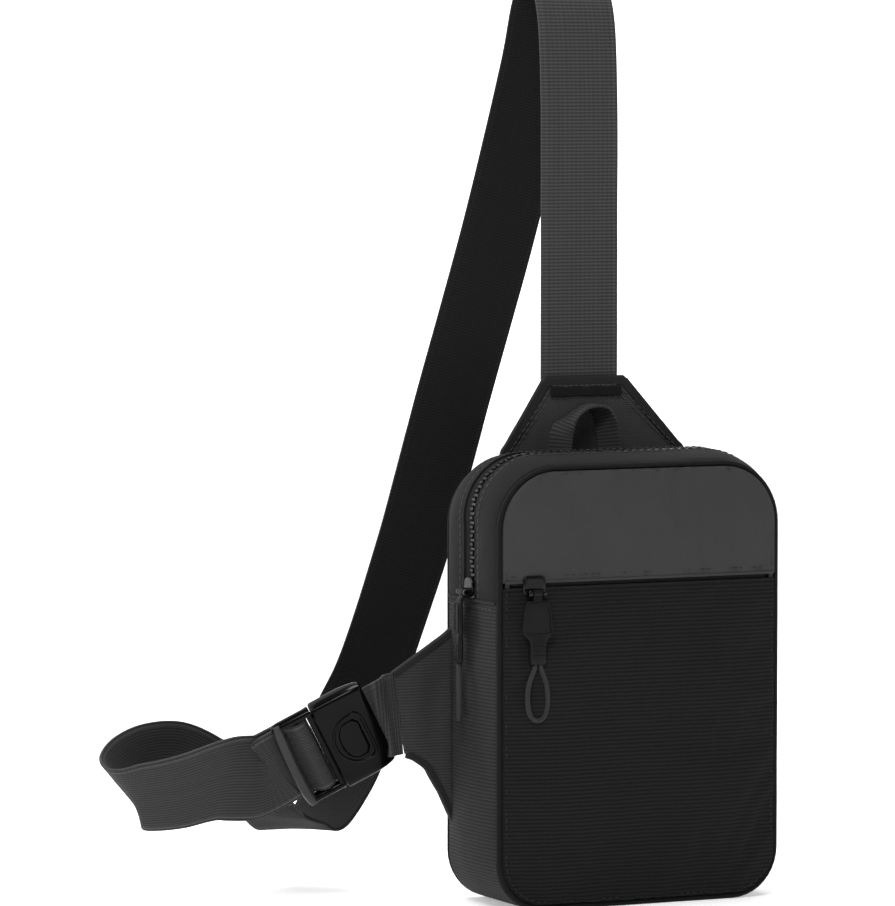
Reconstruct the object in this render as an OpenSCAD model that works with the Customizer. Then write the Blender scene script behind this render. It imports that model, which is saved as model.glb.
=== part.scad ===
// Sling bag with arched webbing strap, side-release buckle and two zipped pockets.
// Units are millimetres. Origin is the middle of the flat bottom, X right, Y back, Z up.

/* [Bag body] */
// Half of the bag's width at the gusset
body_hw = 69; // [50:1:90]
// Height of the gusset ring
body_h = 196; // [150:1:260]
// Half of the depth between the two pipings
body_hd = 24.1; // [15:0.1:40]
// Corner radius at the top
r_top = 28; // [10:1:45]
// Corner radius at the bottom
r_bot = 22; // [10:1:45]
// Gusset cloth thickness
wall_t = 2; // [1:0.1:3]
// Height of the side seam where the zipper starts
seam_z = 136; // [100:1:160]
// Height of the front pocket's zipper
pocket_z = 143.8; // [120:0.1:160]
// Piping diameter
piping_d = 2.4; // [1.5:0.1:4]

/* [Webbing] */
// Shoulder webbing width
web_w = 38; // [25:1:50]
// Shoulder webbing thickness
web_t = 1.6; // [1:0.1:3]
// Grab handle webbing width
handle_w = 11; // [8:1:20]

/* [Zippers] */
// Distance from one tooth to the next along a zipper
tooth_pitch = 2.6; // [2:0.1:4]
// Slider hinge pin diameter
pin_d = 1.6; // [1.2:0.1:2.5]
// Clearance around a slider's hinge pin
pin_gap = 0.1; // [0.05:0.01:0.1]
// Turn of the main pull towards the front
main_yaw = 18; // [0:1:30]

/* [Buckle] */
// Buckle length
bk_len = 44; // [40:1:60]
// Half of the buckle's width
bk_hw = 23; // [21:0.5:30]
// Half of the female housing's thickness
bk_ht = 5; // [4:0.5:7]
// Release button travel
button_travel = 1.8; // [1:0.1:2]

/* [Hidden] */
eps = 0.01;
lip_r = piping_d / 2;
pipe_hw = body_hw - 1;
pipe_y = body_hd + lip_r + 0.05;
pan_hw = pipe_hw - lip_r - 0.1;
pan_y = body_hd + 1.9;
zip_y0 = -6.2;
zip_y1 = 4.2;
zip_mid = -1;
tape_hw = body_hw - 0.6;
slider_z = 141.5;
slider_pin_x = -74.2;
slider_pin_z = 139.5;
pslider_x = -52.5;
pslider_pin_y = -31.2;
pslider_pin_z = 140.6;
tab_y = 27.6;
grey = [0.22, 0.22, 0.22];
dark = [0.12, 0.12, 0.125];
black = [0.05, 0.05, 0.05];

// Outline of a panel in the X-Z plane: half width, low and high edge, top and bottom radius.
function arc(cx, cz, r, a0, a1, n) = [for (i = [0:n]) let (a = a0 + (a1 - a0) * i / n)
  [cx + r * cos(a), cz + r * sin(a)]];
function outline(hw, z0, z1, rt, rb, n = 8) = concat(
  arc(hw - rb, z0 + rb, rb, -90, 0, n), arc(hw - rt, z1 - rt, rt, 0, 90, n),
  arc(rt - hw, z1 - rt, rt, 90, 180, n), arc(rb - hw, z0 + rb, rb, 180, 270, n));
// The gusset's outline moved inwards by d.
function inset(d, n = 8) = outline(body_hw - d, d, body_h - d, r_top - d, r_bot - d, n);

module slab(y0, y1) translate([0, y1, 0]) rotate([90, 0, 0]) linear_extrude(y1 - y0) children();
module ring(y0, y1, d0, d1) slab(y0, y1) difference() { polygon(inset(d0)); polygon(inset(d1)); }
module above(z) intersection() { children(); translate([-150, -60, z]) cube([300, 120, 200]); }
module below(z) intersection() { children(); translate([-150, -60, z - 300]) cube([300, 120, 300]); }
module box(lo, hi) translate(lo) cube(hi - lo);

// Smooth curve through a list of vectors of any length.
function cr1(a, b, c, d, t) = 0.5 * (2 * b + (c - a) * t + (2 * a - 5 * b + 4 * c - d) * t * t
  + (3 * b - a - 3 * c + d) * t * t * t);
function pick(P, i) = P[max(0, min(len(P) - 1, i))];
function curve(P, n) = concat([for (i = [0:len(P) - 2]) for (k = [0:n - 1])
  cr1(pick(P, i - 1), P[i], P[i + 1], pick(P, i + 2), k / n)], [P[len(P) - 1]]);
function unit(v) = v / norm(v);
function part3(v) = [v[0], v[1], v[2]];
function wide3(v) = [v[3], v[4], v[5]];
function tang(S, i) = unit(part3(pick(S, i + 1)) - part3(pick(S, i - 1)));
function square_to(w, t) = unit(w - (w * t) * t);

// Flat webbing swept along a curve. Each row is x, y, z and the width direction.
module ribbon(P, w, t, n = 4) {
  S = curve(P, n);
  m = len(S);
  pts = [for (i = [0:m - 1]) let (c = part3(S[i]), T = tang(S, i), W = square_to(wide3(S[i]), T),
    N = cross(T, W)) each [c + W * w / 2 + N * t / 2, c - W * w / 2 + N * t / 2,
    c - W * w / 2 - N * t / 2, c + W * w / 2 - N * t / 2]];
  polyhedron(pts, concat([[3, 2, 1, 0]], [[4 * m - 4, 4 * m - 3, 4 * m - 2, 4 * m - 1]],
    [for (i = [0:m - 2]) for (k = [0:3]) each [
      [4 * i + k, 4 * i + (k + 1) % 4, 4 * i + 4 + (k + 1) % 4],
      [4 * i + k, 4 * i + 4 + (k + 1) % 4, 4 * i + 4 + k]]]));
}

// Round cord swept along an open curve that stays near the X-Z plane.
module tube(P, d, n = 4, s = 8) {
  S = curve(P, n);
  m = len(S);
  pts = [for (i = [0:m - 1]) let (T = tang(S, i), U = square_to([0, 1, 0], T), V = cross(T, U))
    each [for (k = [0:s - 1]) S[i] + (U * cos(360 * k / s) + V * sin(360 * k / s)) * d / 2]];
  polyhedron(pts, concat([[for (k = [0:s - 1]) s - 1 - k]], [[for (k = [0:s - 1]) s * (m - 1) + k]],
    [for (i = [0:m - 2]) for (k = [0:s - 1]) each [
      [s * i + k, s * i + (k + 1) % s, s * i + s + (k + 1) % s],
      [s * i + k, s * i + s + (k + 1) % s, s * i + s + k]]]));
}

// Closed round piping along an outline at one depth.
module piping(y) {
  O = outline(pipe_hw, lip_r + 0.1, body_h - lip_r - 0.1, r_top - 1, r_bot - 1, 8);
  m = len(O);
  s = 8;
  pts = [for (i = [0:m - 1]) let (a = O[(i + m - 1) % m], b = O[(i + 1) % m],
    t = (b - a) / norm(b - a), u = [t[1], -t[0]]) each [for (k = [0:s - 1])
    [O[i][0] + u[0] * lip_r * cos(360 * k / s), y + lip_r * sin(360 * k / s),
     O[i][1] + u[1] * lip_r * cos(360 * k / s)]]];
  polyhedron(pts, [for (i = [0:m - 1]) for (k = [0:s - 1]) let (j = (i + 1) % m) each [
    [s * i + (k + 1) % s, s * i + k, s * j + (k + 1) % s],
    [s * i + k, s * j + k, s * j + (k + 1) % s]]]);
}

// ---- bag body ----
module back_panel() color(grey) slab(pan_y, 27.4)
  polygon(outline(pan_hw, 2.7, body_h - 2.7, r_top - 2.5, r_bot - 2.5));
module back_foam() color(black) slab(22.4, pan_y)
  polygon(outline(pan_hw - 0.3, 3, body_h - 3, r_top - 2.8, r_bot - 2.8));
module rear_gusset() color(grey) above(seam_z) ring(zip_y1, body_hd, 0, wall_t);
module front_gusset_band() color(grey) above(seam_z) ring(-body_hd, zip_y0, 0, wall_t);
module lower_gusset() color(dark) below(seam_z) ring(-body_hd, body_hd, 0, wall_t);
module front_upper_panel() color(grey) above(pocket_z + 1.3) slab(-27.5, -pan_y)
  polygon(outline(pan_hw, 2.7, body_h - 2.7, r_top - 2.5, r_bot - 2.5));
module front_lower_panel() color(dark) below(pocket_z - 1.3) slab(-27.5, -pan_y)
  polygon(outline(pan_hw, 2.7, body_h - 2.7, r_top - 2.5, r_bot - 2.5));
module inner_front_panel() color(dark) slab(-20.6, -19.2) polygon(inset(wall_t + 0.1));
module lining() color([0.3, 0.3, 0.32]) difference() {
  ring(-19.2, 22.4, wall_t + 0.1, wall_t + 0.7);
  box([-80, zip_y0 - 0.4, seam_z], [80, zip_y1 + 0.4, body_h + 10]);
}
module front_piping() color(black) piping(-pipe_y);
module back_piping() color(black) piping(pipe_y);

// ---- main zipper, a U over the top of the bag ----
module main_zipper_tape_front() color(black) above(seam_z) ring(zip_y0, zip_mid - 0.7, 0.6, 1.6);
module main_zipper_tape_rear() color(black) above(seam_z) ring(zip_mid + 0.7, zip_y1, 0.6, 1.6);
run_side = body_h - r_top - seam_z - 4;
run_arc = (r_top - 0.6) * PI / 2;
run_flat = 2 * (body_hw - r_top);
run_all = 2 * run_side + 2 * run_arc + run_flat;
// Place and heading on the zipper's path at a distance from its left lower end.
function track(s) =
  s < run_side ? [-tape_hw, seam_z + 4 + s, 90] :
  s < run_side + run_arc ? let (a = 180 - 90 * (s - run_side) / run_arc)
    [r_top - body_hw + (r_top - 0.6) * cos(a), body_h - r_top + (r_top - 0.6) * sin(a), a - 90] :
  s < run_side + run_arc + run_flat ? [r_top - body_hw + s - run_side - run_arc, body_h - 0.6, 0] :
  s < run_all - run_side ? let (a = 90 - 90 * (s - run_side - run_arc - run_flat) / run_arc)
    [body_hw - r_top + (r_top - 0.6) * cos(a), body_h - r_top + (r_top - 0.6) * sin(a), a - 90] :
  [tape_hw, seam_z + 4 + run_all - s, -90];
module main_zipper_teeth() color([0.09, 0.09, 0.09]) {
  count = floor(run_all / tooth_pitch);
  for (i = [0:count]) let (t = track(i * run_all / count))
    translate([t[0], zip_mid + (i % 2 == 0 ? -1.7 : -0.5), t[1]]) rotate([0, -t[2], 0])
      translate([-0.7, 0, 0.02]) cube([1.4, 2.2, 1.15]);
}
module main_zipper_stops() color(black) for (s = [-1, 1])
  box([s < 0 ? -tape_hw - 1.2 : tape_hw, zip_mid - 2, seam_z + 0.4],
      [s < 0 ? -tape_hw : tape_hw + 1.2, zip_mid + 2, seam_z + 2.4]);

// ---- front pocket zipper ----
module pocket_zipper_tape() color(black) box([-64, -pan_y, pocket_z - 6], [64, 0.8 - pan_y, pocket_z + 6]);
module pocket_zipper_teeth() color([0.09, 0.09, 0.09]) for (x = [-62:tooth_pitch:62])
  box([x - 0.8, -27, pocket_z - 1], [x + 0.8, -pan_y, pocket_z + 1]);
module pocket_zipper_stops() color(black) for (x = [-65, 65])
  box([x - 1, -27.2, pocket_z - 1.1], [x + 1, -pan_y, pocket_z + 1.1]);

// ---- sliders and pulls ----
// Slider in its own frame: tape behind it, -Y outwards, hinge pin along X at the origin.
module pin_lugs(plate_y) {
  rotate([0, 90, 0]) translate([0, 0, -4]) cylinder(d = pin_d, h = 8, $fn = 24);
  for (s = [-1, 1]) translate([s * 3.4 - 0.9, 0, 0]) {
    rotate([0, 90, 0]) cylinder(r = 1.5, h = 1.8, $fn = 24);
    translate([0, 0, -1.5]) cube([1.8, plate_y, 3]);
  }
}
// Grip in its own frame, hanging down from the pin. The plate is turned by yaw and stands off.
module pull_grip(yaw, off) {
  difference() {
    union() {
      rotate([0, 90, 0]) translate([0, 0, -2.2]) cylinder(r = 1.75, h = 4.4, $fn = 24);
      translate([-2.2, -1.1 - off, -4.6]) cube([4.4, 2.1 + off, 3.6]);
    }
    rotate([0, 90, 0]) translate([0, 0, -5]) cylinder(d = pin_d + 2 * pin_gap, h = 10, $fn = 24);
  }
  rotate([0, 0, yaw]) translate([0, 1.1 - off, 0]) {
    rotate([90, 0, 0]) linear_extrude(2.2) polygon([[-5.1, -3.2], [-5.5, -3.8], [-7.35, -16.6],
      [-6.9, -18.2], [-4.4, -19.8], [-3.8, -21.2], [-3.8, -30.4], [-2.9, -31.4], [2.9, -31.4],
      [3.8, -30.4], [3.8, -21.2], [4.4, -19.8], [6.9, -18.2], [7.35, -16.6], [5.5, -3.8], [5.1, -3.2]]);
    translate([-3.1, -2.7, -31]) cube([6.2, 3.2, 8]);
  }
}
// Hairpin of round cord under a grip.
module pull_cord(yaw, off) rotate([0, 0, yaw]) translate([0, -off, 0])
  tube([[-1.6, 0, -31.9], [-1.6, 0, -33.6], [-4.1, 0.2, -40], [-4.7, 0.3, -47], [-3.9, 0.2, -52.5],
    [-1.6, 0, -55.4], [1.6, 0, -55.4], [3.9, -0.2, -52.5], [4.7, -0.3, -47], [4.1, -0.2, -40],
    [1.6, 0, -33.6], [1.6, 0, -31.9]], 2.2);

module at_main() translate([slider_pin_x, zip_mid, slider_pin_z]) rotate([0, 0, -90]) children();
module at_pocket() translate([pslider_x, pslider_pin_y, pslider_pin_z]) children();
module main_slider() color([0.08, 0.08, 0.09]) {
  at_main() pin_lugs(2.9);
  box([-71.7, -5.2, 137.2], [-70.4, 3.2, 146]);
  for (s = [-1, 1]) box([-70.5, zip_mid + s * 3.7 - 0.45, 137.6], [-69, zip_mid + s * 3.7 + 0.45, 145.6]);
}
module main_pull_grip() color([0.16, 0.16, 0.16]) at_main() pull_grip(-main_yaw, 1.6);
module main_pull_cord() color(grey) at_main() pull_cord(-main_yaw, 1.6);
module pocket_slider() color([0.08, 0.08, 0.09]) {
  at_pocket() pin_lugs(2.5);
  box([pslider_x - 5.6, -28.9, 139.2], [pslider_x + 5.6, -27.9, 148]);
  box([pslider_x - 4, -28, pocket_z - 0.5], [pslider_x + 4, -27.35, pocket_z + 0.5]);
}
module pocket_pull_grip() color([0.16, 0.16, 0.16]) at_pocket() pull_grip(0, 0.6);
module pocket_pull_cord() color(grey) at_pocket() pull_cord(0, 0.6);

// ---- strap tab and grab handle ----
tab_in = [[-39.4, 180], [-38.9, 197.5], [-18.9, 228.6], [18.4, 228.6], [46.4, 197.5], [46.9, 180]];
tab_out = [[-42.6, 180], [-42, 198.4], [-20.6, 231.5], [20.1, 231.5], [49.8, 198.4], [50.2, 180]];
module strap_tab() color(dark) slab(tab_y, tab_y + 1.6) polygon(tab_in);
module strap_tab_binding() color(black) slab(tab_y - 0.15, tab_y + 2.2) difference() {
  polygon(tab_out);
  polygon(concat([[-39.4, 170]], tab_in, [[46.9, 170]]));
}
module strap_tab_bar() color(black) box([-17.5, tab_y - 1.5, 222.6], [17, tab_y, 226.8]);
module grab_handle() color(black) ribbon([[-15.5, 21.4, 196.2, 0.8, -0.6, 0],
  [-15.6, 21.4, 201, 0.8, -0.6, 0],
  [-14.6, 21.4, 207, 0.8, -0.6, 0.1], [-11, 21.4, 212.5, 0.55, -0.75, 0.45],
  [-5, 21.4, 217.2, 0.3, -0.85, 0.2],
  [1, 21.4, 218.4, 0.2, -0.95, 0], [5.6, 21.4, 214.5, 0.4, -0.85, 0.35],
  [7.6, 21.4, 208, 0.75, -0.65, 0.3],
  [8.6, 21.4, 202, 0.8, -0.6, 0], [9, 21.4, 196.2, 0.8, -0.6, 0]], handle_w, 1.4);

// ---- side wing at the left of the back ----
wing = [[-69.05, 121], [-73.5, 117.5], [-98.5, 101.5], [-92, 66.5], [-88, 65], [-82, 61], [-74.5, 49],
  [-69.05, 37]];
module side_wing() color(grey) slab(19, 22) polygon(wing);
module side_wing_binding() color(black) slab(18.6, 22.4) {
  polygon([[-73.5, 117.5], [-98.5, 101.5], [-98.9, 103.6], [-73.9, 119.8], [-69.05, 123.5],
  [-69.05, 121]]);
  polygon([[-92, 66.5], [-88, 65], [-82, 61], [-74.5, 49], [-69.05, 37], [-69.05, 32.5], [-76.4, 47.6],
    [-83.4, 59], [-88.6, 62.6], [-91.6, 63.8]]);
}

// ---- buckle, built flat with X along it, Y across it and Z outwards, then turned ----
bk_at = [-145, 29, 62.5];
bk_turn = [116, -27.5, -18];
module at_buckle() translate(bk_at) rotate(bk_turn) children();
function turn_x(v, a) = [v[0], v[1] * cos(a) - v[2] * sin(a), v[1] * sin(a) + v[2] * cos(a)];
function turn_y(v, a) = [v[0] * cos(a) + v[2] * sin(a), v[1], v[2] * cos(a) - v[0] * sin(a)];
function turn_z(v, a) = [v[0] * cos(a) - v[1] * sin(a), v[0] * sin(a) + v[1] * cos(a), v[2]];
function bkd(v) = turn_z(turn_y(turn_x(v, bk_turn[0]), bk_turn[1]), bk_turn[2]);
bkw = bkd([0, 1, 0]);
function bk(u, n) = concat(bk_at + bkd([u, 0, n]), bkw);

module rounded(x0, x1, hy, r) polygon(concat(arc(x1 - r, hy - r, r, 0, 90, 6),
  arc(x0 + r, hy - r, r, 90, 180, 6), arc(x0 + r, r - hy, r, 180, 270, 6),
  arc(x1 - r, r - hy, r, 270, 360, 6)));
module d_shape(x0, x1, hy) polygon(concat([[x1, hy * 0.72], [x1 - 2, hy]], [for (i = [0:12])
  let (a = 90 + 180 * i / 12) [x1 - 5.5 + (x1 - 5.5 - x0) * cos(a), hy * sin(a)]],
  [[x1 - 2, -hy], [x1, -hy * 0.72]]));
module buckle_female() color(black) at_buckle() difference() {
  translate([0, 0, -bk_ht]) linear_extrude(2 * bk_ht) rounded(19.6, bk_len, bk_hw, 3);
  box([15, -19.4, -2.9], [38, 19.4, 2.9]);
  translate([0, 0, 0]) linear_extrude(20) d_shape(25, 36.5, 10);
  box([40, -19.4, -1.1], [bk_len + 5, 19.4, 1.1]);
}
module release_button() color([0.04, 0.04, 0.04]) at_buckle() {
  translate([0, 0, 1.2]) linear_extrude(4.5) d_shape(25.35, 36.15, 9.65);
  translate([0, 0, 1.2]) linear_extrude(1.3) d_shape(24.2, 37.2, 10.9);
}
module buckle_male() color(black) at_buckle() {
  difference() {
    translate([0, 0, -3]) linear_extrude(6) rounded(0, 19.2, bk_hw, 2.4);
    box([5, -19.7, -10], [17.6, 19.7, 10]);
    box([-5, -19.7, -10], [6, 19.7, -0.4]);
  }
  translate([0, 0, -1.2]) linear_extrude(1.7) polygon([[11, -20], [13.4, -20], [13.4, 20], [11, 20]]);
  translate([0, 0, 2.6]) linear_extrude(1.2) polygon([[0.4, -21], [4.6, -21], [4.6, 21], [0.4, 21]]);
  translate([0, 0, -2.5]) linear_extrude(1.6) polygon([[18.5, -12], [18.5, 12], [33, 12], [36.5, 8],
    [36.5, -8], [33, -12]]);
  for (s = [-1, 1]) translate([0, 0, -2.5]) linear_extrude(5)
    polygon([[18.5, s * 14.2], [18.5, s * 18.8], [35, s * 18.8], [36.8, s * 17], [34, s * 15.2]]);
}
module buckle_webbing() color(grey) ribbon([bk(40.4, 0), bk(42.5, 0), bk(44.6, 0),
  [-103.4, 17.3, 84, -0.42, -0.2, 0.88], [-99.6, 19.4, 84.4, -0.26, -0.05, 0.96],
  [-96.8, 20.3, 84.75, -0.18, 0, 0.98]], web_w * 0.97, web_t);

// ---- shoulder webbing ----
main_route = [[-1.8, 30.8, 190, 1, 0, 0], [-1.8, 30.8, 240, 1, 0, 0], [-1.8, 30.8, 300, 1, 0, 0],
  [-1.8, 31, 355, 1, 0, 0], [-1.8, 34.5, 392, 1, 0, 0], [-1.6, 46, 409, 1, 0.02, -0.03],
  [-3, 58, 398, 1, 0.03, -0.1], [-8, 62.5, 365, 1, 0.05, -0.15], [-26, 64, 295, 1, 0.08, -0.2],
  [-46, 70, 220, 1, 0.09, -0.24], [-61, 79, 155, 1, 0.1, -0.24], [-79, 84, 98, 0.98, 0.1, -0.25],
  [-88, 88, 70, 0.8, -0.5, -0.2], [-94, 89, 48, 0.5, -0.85, -0.1], [-103, 85, 34, 0.45, -0.89, 0.05],
  [-119, 76, 29, 0.83, -0.55, 0.02], [-134, 68, 35, 0.59, -0.8, 0], [-147, 64, 44, 0.4, -0.88, 0.22],
  [-158, 63, 51, 0.12, -0.8, 0.58], [-170.8, 62, 57.5, -0.1, -0.5, 0.85]];
loop_route = [[-174.6, 61.9, 59.1, -0.1, -0.5, 0.85], [-187, 60, 63, -0.17, -0.2, 0.97],
  [-201, 55, 63, -0.39, -0.17, 0.91], [-212, 48, 60, -0.55, -0.16, 0.82],
  [-218, 40, 56, -0.66, -0.15, 0.74],
  [-218, 32, 53, -0.66, -0.2, 0.72], [-210, 27.5, 53, -0.63, -0.29, 0.72],
  [-196, 25, 55, -0.56, -0.34, 0.76],
  [-177, 25.5, 59, -0.5, -0.32, 0.8], bk(-12, -2.5), bk(-3, -2.7), bk(3.2, -2.5), bk(7.4, -0.6),
  bk(10.4, 1.5), bk(12.6, 1.75), bk(14.8, 0.6), bk(15.9, -1.8), bk(15.1, -4.2), bk(12, -5.6), bk(4, -6),
  bk(-8, -6.2), bk(-16, -6.6)];
module shoulder_strap() color(grey) ribbon(main_route, web_w, web_t);
module strap_slack_loop() color(grey) ribbon(loop_route, web_w, web_t, 3);
module strap_end_hem() color(dark) at_buckle() translate([0, 0, -9.2]) linear_extrude(1.6)
  polygon([[-17, -18.6], [-9, -18.6], [-9, 18.6], [-17, 18.6]]);

back_panel();
back_foam();
rear_gusset();
lower_gusset();
front_gusset_band();
main_zipper_tape_front();
main_zipper_tape_rear();
main_zipper_teeth();
main_zipper_stops();
front_upper_panel();
front_lower_panel();
inner_front_panel();
lining();
front_piping();
back_piping();
pocket_zipper_tape();
pocket_zipper_teeth();
pocket_zipper_stops();
main_slider();
main_pull_grip();
main_pull_cord();
pocket_slider();
pocket_pull_grip();
pocket_pull_cord();
strap_tab();
strap_tab_binding();
strap_tab_bar();
grab_handle();
side_wing();
side_wing_binding();
buckle_webbing();
buckle_female();
release_button();
buckle_male();
shoulder_strap();
strap_slack_loop();
strap_end_hem();
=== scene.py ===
import bpy, bmesh, math
from mathutils import Euler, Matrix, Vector, noise


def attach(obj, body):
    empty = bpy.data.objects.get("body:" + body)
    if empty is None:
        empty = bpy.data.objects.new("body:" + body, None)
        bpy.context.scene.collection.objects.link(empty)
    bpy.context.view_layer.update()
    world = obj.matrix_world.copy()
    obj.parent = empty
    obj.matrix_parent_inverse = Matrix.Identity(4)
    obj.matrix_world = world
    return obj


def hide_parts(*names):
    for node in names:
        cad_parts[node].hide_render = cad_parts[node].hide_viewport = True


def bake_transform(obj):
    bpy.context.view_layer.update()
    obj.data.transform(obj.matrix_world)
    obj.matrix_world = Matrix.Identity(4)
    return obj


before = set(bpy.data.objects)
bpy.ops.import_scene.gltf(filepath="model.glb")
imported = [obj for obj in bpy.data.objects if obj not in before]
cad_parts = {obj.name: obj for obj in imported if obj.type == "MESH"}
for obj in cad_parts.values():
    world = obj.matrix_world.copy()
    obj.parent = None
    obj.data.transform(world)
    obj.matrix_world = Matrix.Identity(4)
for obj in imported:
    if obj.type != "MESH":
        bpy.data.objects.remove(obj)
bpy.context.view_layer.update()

MM = 0.001
WEBBING_WIDTH = 38
WORLD_LIGHT = 0.2
FLOOR_GLOW = 0.35
BACKDROP_GLOW = 0.95
CORD_ACROSS = 2.2
scene = bpy.context.scene
scene.view_settings.view_transform = 'Standard'


# ---------------------------------------------------------------- camera, floor and light
def link(obj):
    scene.collection.objects.link(obj)
    return obj


cam = link(bpy.data.objects.new("camera", bpy.data.cameras.new("camera")))
cam.data.sensor_width = 36.0
cam.data.lens = 243.6
cam.data.clip_end = 50
YAW, PITCH = math.radians(25), math.radians(3.9)
cam.location = Vector((-1214.3, -2430.1, 383.7)) * MM
cam.rotation_euler = (math.pi / 2 - PITCH, 0, -YAW)
scene.camera = cam

world = bpy.data.worlds.new("studio")
scene.world = world
world.use_nodes = True
world.node_tree.nodes["Background"].inputs[0].default_value = (1, 1, 1, 1)
world.node_tree.nodes["Background"].inputs[1].default_value = WORLD_LIGHT


def area(name, loc, aim, size, power):
    lamp = bpy.data.lights.new(name, 'AREA')
    lamp.shape = 'RECTANGLE'
    lamp.size, lamp.size_y = size
    lamp.energy = power
    o = link(bpy.data.objects.new(name, lamp))
    o.location = loc
    o.rotation_euler = (Vector(aim) - Vector(loc)).to_track_quat('-Z', 'Y').to_euler()


area("key", (-0.75, -0.9, 1.5), (-0.05, 0, 0.15), (0.7, 0.5), 19)
area("fill", (1.6, -1.2, 0.7), (0, 0, 0.12), (0.5, 1.2), 5)
area("top", (0.05, 0.3, 1.7), (0.0, 0, 0.15), (1.0, 0.7), 22)
area("rim", (-1.5, 0.7, 0.7), (-0.1, 0, 0.1), (0.4, 1.2), 12)


# ---------------------------------------------------------------- materials
class Nodes:
    """Short way to write a node tree."""

    def __init__(self, name):
        self.mat = bpy.data.materials.new(name)
        self.mat.use_nodes = True
        self.t = self.mat.node_tree
        self.bsdf = self.t.nodes["Principled BSDF"]

    def put(self, value, socket):
        if isinstance(value, (int, float, tuple)):
            socket.default_value = value
        else:
            self.t.links.new(value, socket)

    def math(self, op, a, b=None, c=None, clamp=False):
        n = self.t.nodes.new("ShaderNodeMath")
        n.operation = op
        n.use_clamp = clamp
        for v, s in zip((a, b, c), n.inputs):
            if v is not None:
                self.put(v, s)
        return n.outputs[0]

    def mix(self, f, a, b):
        n = self.t.nodes.new("ShaderNodeMix")
        n.data_type = 'RGBA'
        self.put(f, n.inputs[0])
        self.put(a, n.inputs[6])
        self.put(b, n.inputs[7])
        return n.outputs[2]

    def noise(self, vec, scale, detail=2.0, rough=0.5):
        n = self.t.nodes.new("ShaderNodeTexNoise")
        self.put(vec, n.inputs["Vector"])
        n.inputs["Scale"].default_value = scale
        n.inputs["Detail"].default_value = detail
        n.inputs["Roughness"].default_value = rough
        return n.outputs["Fac"]

    def bump(self, height, strength, distance, normal=None):
        n = self.t.nodes.new("ShaderNodeBump")
        n.inputs["Strength"].default_value = strength
        n.inputs["Distance"].default_value = distance
        self.put(height, n.inputs["Height"])
        if normal is not None:
            self.put(normal, n.inputs["Normal"])
        return n.outputs[0]

    def uv(self):
        n = self.t.nodes.new("ShaderNodeUVMap")
        n.uv_map = "UVMap"
        s = self.t.nodes.new("ShaderNodeSeparateXYZ")
        self.t.links.new(n.outputs[0], s.inputs[0])
        return n.outputs[0], s.outputs[0], s.outputs[1]

    def obj(self):
        n = self.t.nodes.new("ShaderNodeTexCoord")
        s = self.t.nodes.new("ShaderNodeSeparateXYZ")
        self.t.links.new(n.outputs["Object"], s.inputs[0])
        return n.outputs["Object"], s.outputs[0], s.outputs[1], s.outputs[2]

    def wave(self, x, pitch_mm, phase=0.0):
        """0 to 1 sine along x, which is in metres."""
        a = self.math('MULTIPLY_ADD', x, 2 * math.pi / (pitch_mm * MM), phase)
        return self.math('MULTIPLY_ADD', self.math('SINE', a), 0.5, 0.5)


def grey(v, tint=0.0):
    return (v, v, v * (1 + tint), 1)


def cloth(name, base, weave, pitch, contrast=0.3, bump=0.35, rough=0.82, sheen=0.03, mottle=0.12,
        dist=0.25):
    """Woven cloth in the piece's UV map, which is in metres along and across the cloth."""
    m = Nodes(name)
    vec, u, v = m.uv()
    warp = m.noise(vec, 260, 2)
    jit = m.math('MULTIPLY_ADD', warp, 0.0005, 0.0)
    uu, vv = m.math('ADD', u, jit), m.math('ADD', v, jit)
    if weave == "twill":
        a = m.wave(m.math('ADD', uu, vv), pitch)
        b = m.wave(m.math('SUBTRACT', uu, vv), pitch * 1.9)
        h = m.math('MULTIPLY_ADD', a, 0.7, m.math('MULTIPLY', b, 0.3))
    elif weave == "ribs":
        a = m.wave(vv, pitch)
        b = m.wave(uu, pitch * 0.8)
        h = m.math('MULTIPLY_ADD', a, 0.8, m.math('MULTIPLY', b, 0.2))
    elif weave == "basket":
        a, b = m.wave(uu, pitch), m.wave(vv, pitch)
        k = m.math('GREATER_THAN', m.math('MULTIPLY', m.math('SUBTRACT', m.wave(uu, pitch * 2), 0.5),
                                          m.math('SUBTRACT', m.wave(vv, pitch * 2), 0.5)), 0.0)
        h = m.math('ADD', m.math('MULTIPLY', k, a), m.math('MULTIPLY', m.math('SUBTRACT', 1.0, k), b))
    else:
        h = m.math('MULTIPLY', m.wave(uu, pitch), m.wave(vv, pitch))
    fibre = m.noise(vec, 2600, 2, 0.7)
    cloud = m.noise(vec, 22, 3)
    tone = m.math('MULTIPLY_ADD', h, contrast * 2, 1 - contrast)
    tone = m.math('MULTIPLY', tone, m.math('MULTIPLY_ADD', fibre, 0.5, 0.75))
    tone = m.math('MULTIPLY', tone, m.math('MULTIPLY_ADD', cloud, mottle * 2, 1 - mottle))
    n = m.t.nodes.new("ShaderNodeMix")
    n.data_type = 'RGBA'
    n.blend_type = 'MULTIPLY'
    n.inputs[0].default_value = 1.0
    m.put(tuple(base[:3]) + (1,), n.inputs[6])
    comb = m.t.nodes.new("ShaderNodeCombineColor")
    for s in comb.inputs[:3]:
        m.put(tone, s)
    m.put(comb.outputs[0], n.inputs[7])
    m.put(n.outputs[2], m.bsdf.inputs["Base Color"])
    m.put(m.math('MULTIPLY_ADD', h, -0.1, rough + 0.05), m.bsdf.inputs["Roughness"])
    m.bsdf.inputs["Sheen Weight"].default_value = sheen
    m.bsdf.inputs["Sheen Roughness"].default_value = 0.45
    m.bsdf.inputs["Specular IOR Level"].default_value = 0.08
    height = m.math('MULTIPLY_ADD', fibre, 0.35, h)
    m.put(m.bump(height, bump, dist * MM), m.bsdf.inputs["Normal"])
    return m.mat


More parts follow.
